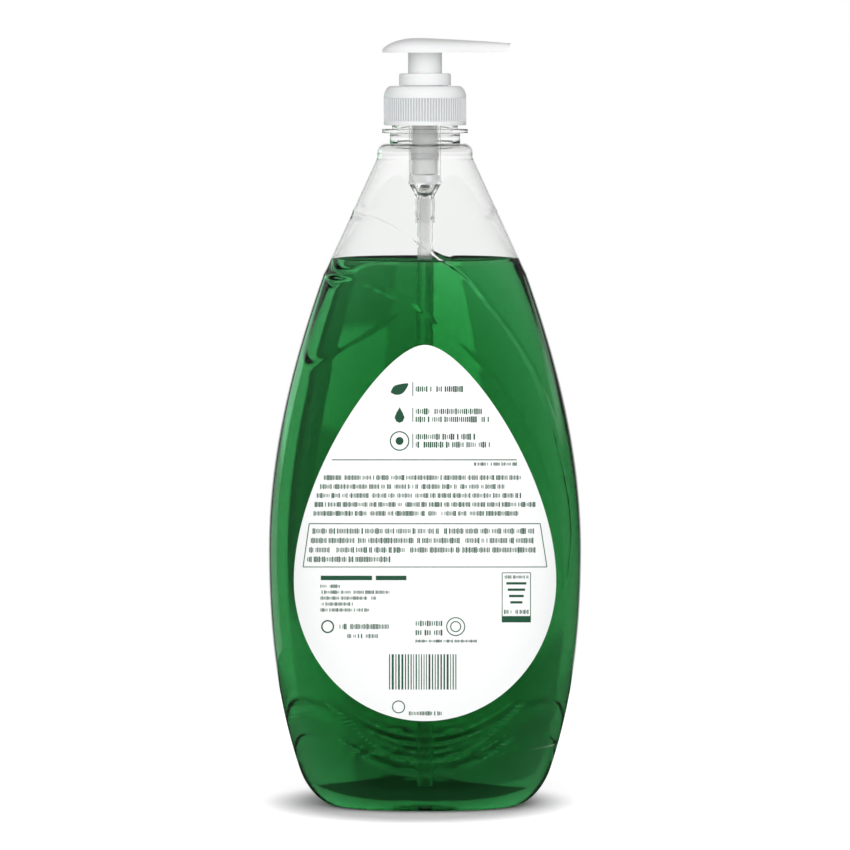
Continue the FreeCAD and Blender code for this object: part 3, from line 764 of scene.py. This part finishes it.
# The small blocks in the lower half, a panel, a row of upright stripes and a mark at the foot.
add_patch(-39.5, 90.8, -20.0, 92.5)
add_patch(-18.6, 90.8, -7.0, 92.5)
for k, right in enumerate((-32.4, -13.6, -18.2, -27.5, -21.3)):
    add_row(-39.5, right, 88.5 - 2.25 * k, 1.25, 31 + k, 0.85)
add_ring((-36.9, 73.2), 2.5, 0.55)
add_row(-32.8, -13.8, 73.2, 1.9, 41)
add_row(-29.3, -18.1, 69.6, 1.5, 42)
add_row(-3.3, 6.2, 74.4, 2.0, 43, 1.4)
add_row(-3.3, 6.2, 70.9, 2.0, 44, 1.4)
add_ring((11.6, 73.2), 3.6, 0.4)
add_ring((11.6, 73.2), 2.1, 0.4)
add_row(-3.4, 19.4, 67.7, 1.0, 45, 0.8)
panel_left, panel_right, panel_low, panel_high = 29.2, 40.0, 74.8, 93.6
add_line((panel_left, panel_low), (panel_left, panel_high), 0.3)
add_line((panel_right, panel_low), (panel_right, panel_high), 0.3)
add_line((panel_left, panel_high), (panel_right, panel_high), 0.3)
add_patch(panel_left, panel_low, panel_right, panel_low + 2.4)
add_row(panel_left + 1, panel_right - 1, panel_high - 1.6, 1.2, 46, 0.8)
for k in range(4):
    drawn_in, line_z = 1.6 + 0.5 * k, 89.6 - 2.4 * k
    add_line((panel_left + drawn_in, line_z), (panel_right - drawn_in, line_z), 0.9)
add_row(panel_left + 1, panel_right - 1, 78.8, 1.5, 47)
stripe_widths = np.random.default_rng(8).uniform(0.22, 0.8, 24)
stripe_x = -13.6
for stripe_width in stripe_widths:
    add_patch(stripe_x, 49.2, stripe_x + stripe_width, 62.7)
    stripe_x += stripe_width + 0.6
add_ring((-10.0, 42.5), 2.5, 0.4, 28)
add_row(-5.9, 6.1, 40.0, 1.5, 48)
print_piece = piece_from("label_print", print_skins, [ink], 60)
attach(print_piece, "bottle")

# The gasket.
# A ring of pale foam that lies on the neck's top edge. The closure squeezes it under the housing's
# flange, and it keeps the soap in when the bottle lies down.
gasket_foam, shader = new_material("gasket_foam", {"Base Color": (0.78, 0.79, 0.77, 1)})
add_surface(gasket_foam, shader, 400.0, 0.85, 0.1, 2600.0, 0.5)


def finish_node(node, material):
    """Gives a piece of the frame its real finish."""
    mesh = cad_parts[node].data
    mesh.materials.clear()
    mesh.materials.append(material)


finish_node("gasket", gasket_foam)

# The pump housing.
# Natural polypropylene, milky and see-through, moulded in one with its flange, barrel and tube socket.
# It hangs in the neck by the flange, and the dip tube is pressed into its lower end.
natural_pp, shader = new_material("natural_pp", {
    "Base Color": (0.985, 0.985, 0.98, 1), "IOR": 1.38, "Transmission Weight": 0.97})
add_surface(natural_pp, shader, 60.0, 0.05, 0.03, 700.0, 0.03)
finish_node("pump_housing", natural_pp)

# The dip tube.
# Extruded from the same milky plastic, cut square, and pushed up into the housing's socket. It reaches
# down to the soap's floor.
tube_low, tube_high = (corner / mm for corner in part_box("dip_tube"))
tube_radius = tube_high.x
tube_bore = tube_radius - 0.75


def turned_skin(profile, sides=64):
    """A skin turned round the axis from a closed profile, which runs up its outside and down its inside."""
    turns = np.linspace(0, 2 * math.pi, sides, endpoint=False)
    rows = [flat_row(r * np.cos(turns), r * np.sin(turns), z) for r, z in profile]
    return skin(rows)


tube_profile = [(tube_bore, tube_low.z), (tube_radius, tube_low.z)]
for share in np.linspace(0, 1, 12):
    tube_profile.append((tube_radius, tube_low.z + 0.2 + (tube_high.z - tube_low.z - 0.4) * share))
tube_profile += [(tube_radius, tube_high.z), (tube_bore, tube_high.z)]
dip_tube_finish, shader = new_material("dip_tube_pp", {
    "Base Color": (0.95, 0.955, 0.95, 1), "IOR": 1.45, "Transmission Weight": 0.95})
add_surface(dip_tube_finish, shader, 80.0, 0.12, 0.05, 500.0, 0.04)
dip_tube = piece_from("dip_tube_fine", [turned_skin(tube_profile)], [dip_tube_finish])
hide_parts("dip_tube")
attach(dip_tube, "pump")

# The inlet valve.
# A steel ball on the cone at the foot of the barrel, held down by a slotted white cage that is pressed
# in over it.
steel, shader = new_material("steel", {"Base Color": (0.62, 0.62, 0.6, 1), "Metallic": 1.0})
add_surface(steel, shader, 300.0, 0.16, 0.08, 1500.0, 0.02)
finish_node("inlet_ball", steel)

plain_white = (0.8, 0.805, 0.805, 1)
white_depth = {"Subsurface Weight": 0.12, "Subsurface Scale": 0.002}
white_pp, shader = new_material("white_pp", {"Base Color": plain_white, **white_depth})
add_surface(white_pp, shader, 45.0, 0.34, 0.08, 1100.0, 0.06)
finish_node("valve_cage", white_pp)

# The return spring.
# Stainless wire, wound with closed ends. It stands on the cage and pushes up inside the hollow stem.
spring_low, spring_high = (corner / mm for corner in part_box("spring"))
wire_radius = 0.35
coil_radius = spring_high.x - wire_radius
coil_turns = 9
closed_pitch = 0.74
steps_per_turn = 30
wire_sides = 8


def spring_height(turns):
    low = spring_low.z + wire_radius
    high = spring_high.z - wire_radius
    if turns < 1:
        return low + turns * closed_pitch
    if turns > coil_turns - 1:
        return high - (coil_turns - turns) * closed_pitch
    return low + closed_pitch + (turns - 1) / (coil_turns - 2) * (high - low - 2 * closed_pitch)


spring_rows = []
for step in range(coil_turns * steps_per_turn + 1):
    turns = step / steps_per_turn
    angle = 2 * math.pi * turns
    row = []
    for side in range(wire_sides):
        around = -2 * math.pi * side / wire_sides
        reach = coil_radius + wire_radius * math.cos(around)
        row.append((reach * math.cos(angle), reach * math.sin(angle),
                    spring_height(turns) + wire_radius * math.sin(around)))
    spring_rows.append(row)
spring_rows = np.array(spring_rows)
spring_skin = skin(spring_rows, spring_rows[0].mean(axis=0), spring_rows[-1].mean(axis=0))
spring = piece_from("wire_spring", [spring_skin], [steel], 60)
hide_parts("spring")
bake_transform(spring)

# The lock collar.
# White, snapped over the housing's cup once the stem is in. It guides the stem, and the head screws down
# into it when the pump is locked.
finish_node("lock_collar", white_pp)

# The closure.
# White, screwed down on the neck over the housing's flange, with fine ribs for the fingers, a plain band
# at its foot and a domed top.
closure_low, closure_high = (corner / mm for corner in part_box("closure"))
closure_radius = closure_high.x
closure_rib_height = 0.4
closure_rib_count = 90
closure_wall = 1.1
closure_top = 1.2
closure_band = 1.6
closure_dome_height = 4.6
closure_dome_reach = 2.9
closure_hole = 8.95
closure_bore = closure_radius - closure_rib_height - closure_wall


def rib_tree():
    """One slim rib, stood up, repeated round a circle."""
    sizes = (("Count", 90), ("Circle radius", 0.0155), ("Rib width", 0.0006), ("Rib depth", 0.0006),
             ("Rib length", 0.009), ("Middle height", 0.268))
    tree, nodes, links, given = new_tree("Closure ribs", sizes, "Finish")
    circle = nodes.new("GeometryNodeMeshCircle")
    links.new(given.outputs["Count"], circle.inputs["Vertices"])
    links.new(given.outputs["Circle radius"], circle.inputs["Radius"])
    rib = new_node(nodes, "GeometryNodeMeshCylinder", {"Vertices": 10, "Radius": 0.5})
    links.new(given.outputs["Rib length"], rib.inputs["Depth"])
    index = nodes.new("GeometryNodeInputIndex")
    turn = new_node(nodes, "ShaderNodeMath", operation="DIVIDE")
    links.new(index.outputs[0], turn.inputs[0])
    links.new(given.outputs["Count"], turn.inputs[1])
    angle = new_node(nodes, "ShaderNodeMath", {1: 2 * math.pi}, operation="MULTIPLY")
    links.new(turn.outputs[0], angle.inputs[0])
    facing = nodes.new("ShaderNodeCombineXYZ")
    links.new(angle.outputs[0], facing.inputs["Z"])
    size = new_node(nodes, "ShaderNodeCombineXYZ", {"Z": 1})
    links.new(given.outputs["Rib depth"], size.inputs["X"])
    links.new(given.outputs["Rib width"], size.inputs["Y"])
    placed = nodes.new("GeometryNodeInstanceOnPoints")
    links.new(circle.outputs["Mesh"], placed.inputs["Points"])
    links.new(rib.outputs["Mesh"], placed.inputs["Instance"])
    links.new(facing.outputs[0], placed.inputs["Rotation"])
    links.new(size.outputs[0], placed.inputs["Scale"])
    lift = nodes.new("ShaderNodeCombineXYZ")
    links.new(given.outputs["Middle height"], lift.inputs["Z"])
    lifted = nodes.new("GeometryNodeTransform")
    links.new(placed.outputs["Instances"], lifted.inputs["Geometry"])
    links.new(lift.outputs[0], lifted.inputs["Translation"])
    end_tree(nodes, links, lifted.outputs["Geometry"], given.outputs["Finish"])
    return tree


band_top = closure_low.z + closure_band
dome_base = closure_high.z - closure_dome_height
closure_root = closure_radius - closure_rib_height

# The same white with painted shade: grey in the valleys between the ribs, white on their crests and on the
# dome.
ribbed_white_painted_shade, shader = new_material("ribbed_white_painted_shade", white_depth)
add_surface(ribbed_white_painted_shade, shader, 45.0, 0.34, 0.08, 1100.0, 0.06)
nodes, links = ribbed_white_painted_shade.node_tree.nodes, ribbed_white_painted_shade.node_tree.links
place = nodes.new("ShaderNodeTexCoord")
flat_place = new_node(nodes, "ShaderNodeVectorMath", {1: (1, 1, 0)}, operation="MULTIPLY")
links.new(place.outputs["Object"], flat_place.inputs[0])
from_axis = new_node(nodes, "ShaderNodeVectorMath", operation="LENGTH")
links.new(flat_place.outputs["Vector"], from_axis.inputs[0])
crest_share = new_node(nodes, "ShaderNodeMapRange",
                       {"From Min": (closure_root + 0.02) * mm, "From Max": (closure_radius - 0.08) * mm})
links.new(from_axis.outputs["Value"], crest_share.inputs["Value"])
parts = nodes.new("ShaderNodeSeparateXYZ")
links.new(place.outputs["Object"], parts.inputs[0])
over_ribs = new_node(nodes, "ShaderNodeMath", {1: dome_base * mm}, operation="GREATER_THAN")
links.new(parts.outputs["Z"], over_ribs.inputs[0])
unshaded_share = new_node(nodes, "ShaderNodeMath", operation="MAXIMUM")
links.new(crest_share.outputs["Result"], unshaded_share.inputs[0])
links.new(over_ribs.outputs[0], unshaded_share.inputs[1])
rib_painted_shade = new_node(nodes, "ShaderNodeMix",
                      {6: (0.56, 0.56, 0.57, 1), 7: plain_white}, data_type="RGBA")
links.new(unshaded_share.outputs[0], rib_painted_shade.inputs[0])
links.new(rib_painted_shade.outputs[2], shader.inputs["Base Color"])
dome_turns = np.radians(np.linspace(0, 90, 10))
dome = [(closure_radius - closure_dome_reach * (1 - math.cos(a)),
         dome_base + closure_dome_height * math.sin(a)) for a in dome_turns]
under_top = closure_high.z - closure_top
closure_profile = softened(
    [(closure_bore, closure_low.z), (closure_radius, closure_low.z), (closure_radius, band_top),
     (closure_root, band_top + 0.1), (closure_root, dome_base - 0.1)] + dome
    + [(closure_hole, closure_high.z), (closure_hole, under_top), (closure_bore, under_top),
       (closure_bore, closure_low.z + 0.5)], 0.2)
rib_values = {"Count": closure_rib_count, "Circle radius": (closure_root - 0.05) * mm, "Rib width": 0.62 * mm,
              "Rib depth": 0.9 * mm, "Rib length": (dome_base - band_top) * mm,
              "Middle height": (dome_base + band_top) / 2 * mm, "Finish": ribbed_white_painted_shade}
ribs = mesh_skin(made_by(rib_tree(), "closure_ribs", rib_values))
closure_thread = thread_skin(closure_bore, 0.95, thread_pitch, 1.5, 263.6, -1)
closure_skins = [turned_skin(closure_profile, 180), ribs, closure_thread]
closure = piece_from("ribbed_closure", closure_skins, [ribbed_white_painted_shade])
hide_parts("closure")
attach(closure, "closure")

# The stem, the piston and the outlet ball.
# The stem is a hollow rod of natural plastic. A soft grey piston is snapped on near its foot, and a steel
# ball in its top end keeps the soap from running back.
thick_pp, shader = new_material("thick_pp", {"Base Color": (0.62, 0.625, 0.62, 1)})
add_surface(thick_pp, shader, 60.0, 0.35, 0.06, 700.0, 0.04)
finish_node("stem", thick_pp)
finish_node("outlet_ball", steel)
grey_pe, shader = new_material("grey_pe", {"Base Color": (0.44, 0.445, 0.45, 1)})
add_surface(grey_pe, shader, 60.0, 0.4, 0.08, 900.0, 0.05)
finish_node("piston", grey_pe)

# The pump head.
# White, moulded in one: a thumb pad that runs out into the nozzle, and a round shroud that hangs into the
# lock collar. It is pressed onto the stem.
finish_node("pump_head", white_pp)

# The studio.
# A pale floor that runs out to white. The world is the light: soft from the front for the white parts, a
# table and a wall behind for the soap to be seen against, and a pale green card at each side.
floor_material, shader = new_material("studio_floor", {
    "Base Color": (0.9, 0.9, 0.9, 1), "Roughness": 1.0, "Specular IOR Level": 0.0})
nodes, links = floor_material.node_tree.nodes, floor_material.node_tree.links
# Painted shadow: the glow that whitens the floor for the camera fades out in an offset ellipse round the
# foot. The darkening there is the floor's own shadow, but its reach and shape are painted.
place = nodes.new("ShaderNodeTexCoord")
painted_shadow_ellipse = new_node(nodes, "ShaderNodeVectorMath",
                      {1: (1 / 0.047, 1 / 0.045, 1), 2: (0.06, 0, 0)}, operation="MULTIPLY_ADD")
links.new(place.outputs["Object"], painted_shadow_ellipse.inputs[0])
reach = new_node(nodes, "ShaderNodeVectorMath", operation="LENGTH")
links.new(painted_shadow_ellipse.outputs["Vector"], reach.inputs[0])
spread = new_node(
    nodes, "ShaderNodeMapRange",
    {"From Min": 0.85, "From Max": 1.4, "To Min": 0.0, "To Max": 0.6}, interpolation_type="SMOOTHSTEP")
links.new(reach.outputs["Value"], spread.inputs["Value"])
light_path = nodes.new("ShaderNodeLightPath")
watched = new_node(nodes, "ShaderNodeMath", {1: 0.3}, operation="MULTIPLY_ADD")
links.new(light_path.outputs["Is Transmission Ray"], watched.inputs[0])
links.new(light_path.outputs["Is Camera Ray"], watched.inputs[2])
lift = new_node(nodes, "ShaderNodeMath", operation="MULTIPLY")
links.new(watched.outputs[0], lift.inputs[0])
links.new(spread.outputs["Result"], lift.inputs[1])
shader.inputs["Emission Color"].default_value = (1, 1, 1, 1)
links.new(lift.outputs[0], shader.inputs["Emission Strength"])
# Painted reflection: rays that mirror off the bottle see the floor near black.
reflected = new_node(nodes, "ShaderNodeBsdfDiffuse", {"Color": (0.03, 0.03, 0.03, 1)})
only_reflected = new_node(nodes, "ShaderNodeMath", operation="SUBTRACT", use_clamp=True)
links.new(light_path.outputs["Is Glossy Ray"], only_reflected.inputs[0])
links.new(light_path.outputs["Is Transmission Ray"], only_reflected.inputs[1])
mixed = nodes.new("ShaderNodeMixShader")
links.new(only_reflected.outputs[0], mixed.inputs["Fac"])
links.new(shader.outputs["BSDF"], mixed.inputs[1])
links.new(reflected.outputs["BSDF"], mixed.inputs[2])
links.new(mixed.outputs["Shader"], nodes["Material Output"].inputs["Surface"])
floor_radius = 0.35
floor_sides = 96
floor_turns = np.linspace(0, 2 * math.pi, floor_sides, endpoint=False)
floor_points = [(floor_radius * math.cos(t), floor_radius * math.sin(t), 0) for t in floor_turns]
floor_mesh = bpy.data.meshes.new("studio_floor")
floor_mesh.from_pydata(floor_points, [], [range(floor_sides)])
floor_mesh.materials.append(floor_material)
studio_floor = bpy.data.objects.new("studio_floor", floor_mesh)
bpy.context.scene.collection.objects.link(studio_floor)

world = bpy.data.worlds.new("studio")
bpy.context.scene.world = world
world.use_nodes = True
nodes, links = world.node_tree.nodes, world.node_tree.links
background = nodes["Background"]
direction = nodes.new("ShaderNodeTexCoord")
split = nodes.new("ShaderNodeSeparateXYZ")
links.new(direction.outputs["Generated"], split.inputs[0])


def mapped(source, low, high, low_value, high_value):
    """A smooth step of a world direction between two values."""
    values = {"From Min": low, "From Max": high, "To Min": low_value, "To Max": high_value}
    node = new_node(nodes, "ShaderNodeMapRange", values, interpolation_type="SMOOTHSTEP")
    links.new(source, node.inputs["Value"])
    return node.outputs["Result"]


def combined(operation, first, second):
    node = new_node(nodes, "ShaderNodeMath", operation=operation)
    for place, value in enumerate((first, second)):
        if isinstance(value, (int, float)):
            node.inputs[place].default_value = value
        else:
            links.new(value, node.inputs[place])
    return node.outputs[0]


def product(first, *others):
    for other in others:
        first = combined("MULTIPLY", first, other)
    return first


def total(first, *others):
    for other in others:
        first = combined("ADD", first, other)
    return first


def less(first, second):
    return combined("SUBTRACT", first, second)


def panel(first, left, right, second, low, high, factor, soft=0.006):
    """What a panel between two values of one direction, and two of another, multiplies the light by."""
    inside = product(mapped(first, left - soft, left + soft, 0, 1),
                     mapped(first, right - soft, right + soft, 1, 0),
                     mapped(second, low - soft, low + soft, 0, 1),
                     mapped(second, high - soft, high + soft, 1, 0))
    return total(product(inside, factor - 1), 1.0)


# Behind the soap, light comes from a bright table and a dimmer wall. Dark and bright fields on them give
# the liquid its light and dark parts.
across, along, height = split.outputs["X"], split.outputs["Y"], split.outputs["Z"]
ceiling = mapped(height, 0.3, 0.6, 1.0, 2.0)
seen_through = product(mapped(height, -0.01, 0.03, 1.1, 0.8), ceiling)
leaning = total(height, product(across, 0.2))
fields = (
    panel(across, 0.0, 0.1, height, -1.5, -0.09, 0.9),
    panel(across, 0.1, 0.34, height, -1.5, -0.09, 0.7),
    panel(across, 0.1, 0.34, leaning, -0.183, -0.11, 1.75),
    panel(across, 0.34, 0.46, height, -1.5, -0.09, 0.5),
    panel(across, 0.46, 0.54, height, -1.5, -0.09, 0.34, 0.015),
    panel(across, 0.54, 1.5, height, -1.5, 0.05, 1.32, 0.02),
    panel(across, -0.14, 0.0, height, -1.5, -0.11, 1.7),
    panel(across, -1.5, -0.14, height, -1.5, -0.07, 1.05),
    panel(across, -0.6, -0.2, height, -0.07, 0.2, 0.6, 0.02),
    panel(across, -0.2, 0.21, height, -0.04, 0.21, 0.66, 0.02))
seen_through = product(seen_through, *fields)
# The dark hill in the foot of the bottle, with its slopes to both sides.
beside = combined("ABSOLUTE", less(across, 0.04), 0.0)
over_slope = less(height, product(beside, 0.43))
hill = product(mapped(over_slope, 0.085, 0.1, 0, 1), mapped(height, 0.32, 0.35, 1, 0))
seen_through = product(seen_through, total(product(hill, -0.75), 1.0))
path = nodes.new("ShaderNodeLightPath")
# Rays that cross only the plastic see a plain pale ground.
by_soap = combined("GREATER_THAN", path.outputs["Transmission Depth"], 5.5)
ground = product(mapped(height, -0.01, 0.06, 1.08, 0.88), mapped(height, 0.18, 0.34, 1, 0.35),
                 mapped(height, -0.3, -0.16, 0.5, 1))
seen_through = total(product(seen_through, by_soap), product(ground, less(1.0, by_soap)))
# What the outer faces mirror: dark in front and at the sides, white behind, and a pale green card on each
# side that draws the light edges.
left_card = product(less(panel(across, -0.78, -0.45, along, 0.05, 0.95, 2.0, 0.03), 1.0),
                    mapped(height, 0.0, 0.06, 0.5, 1.8), mapped(height, 0.13, 0.19, 1, 0.2))
right_card = product(less(panel(across, 0.5, 0.85, along, 0.05, 0.95, 2.0, 0.03), 1.0),
                     mapped(height, 0.05, 0.12, 0, 0.7), mapped(height, 0.15, 0.2, 1, 0.1))
cards = combined("MAXIMUM", left_card, right_card)
mirrored = combined("MAXIMUM", mapped(along, 0.9, 0.99, 0.03, 0.95), cards)
unscattered = combined("LESS_THAN", path.outputs["Diffuse Depth"], 0.5)
by_refraction = product(path.outputs["Is Transmission Ray"], unscattered)
by_mirror = less(path.outputs["Is Glossy Ray"], path.outputs["Is Transmission Ray"])
by_mirror = combined("MAXIMUM", product(by_mirror, unscattered), 0.0)
facing = combined("MAXIMUM", product(along, -1.0), 0.0)
soft_light = product(total(product(facing, 1.75), 0.3), mapped(height, -0.5, 0.05, 0.5, 1.0))
# What is lit through the bottle's wall gets more, in place of what the wall takes.
behind_wall = combined("GREATER_THAN", path.outputs["Transmission Depth"], 0.5)
lit_inside = product(less(1.0, unscattered), behind_wall, less(1.0, path.outputs["Is Diffuse Ray"]))
soft_light = product(soft_light, total(product(lit_inside, 1.7), 1.0))
scattered = less(less(1.0, by_refraction), by_mirror)
lit = total(product(seen_through, by_refraction), product(mirrored, by_mirror),
            product(scattered, soft_light))
camera_white = combined("MAXIMUM", lit, path.outputs["Is Camera Ray"])
links.new(camera_white, background.inputs["Strength"])
card_share = combined("MINIMUM", product(cards, by_mirror), 1.0)
world_colour = new_node(nodes, "ShaderNodeMix",
                        {6: (1, 1, 1, 1), 7: (0.42, 1, 0.58, 1)}, data_type="RGBA")
links.new(card_share, world_colour.inputs[0])
links.new(world_colour.outputs[2], background.inputs["Color"])

# The camera stands level with the pump's head, two metres away, behind a long lens.
camera_distance = 2.0
camera_height = 0.290
picture_middle = 0.1466
picture_width = 0.3262
sensor_width = 36.0
view = bpy.data.cameras.new("camera")
view.sensor_width = sensor_width
view.lens = sensor_width * camera_distance / picture_width
view.clip_end = 30
camera = bpy.data.objects.new("camera", view)
camera.location = (0, -camera_distance, camera_height)
aim = Vector((0, 0, picture_middle)) - Vector(camera.location)
camera.rotation_euler = aim.to_track_quat("-Z", "Y").to_euler()
bpy.context.scene.collection.objects.link(camera)
bpy.context.scene.camera = camera
bpy.context.scene.view_settings.view_transform = "Standard"
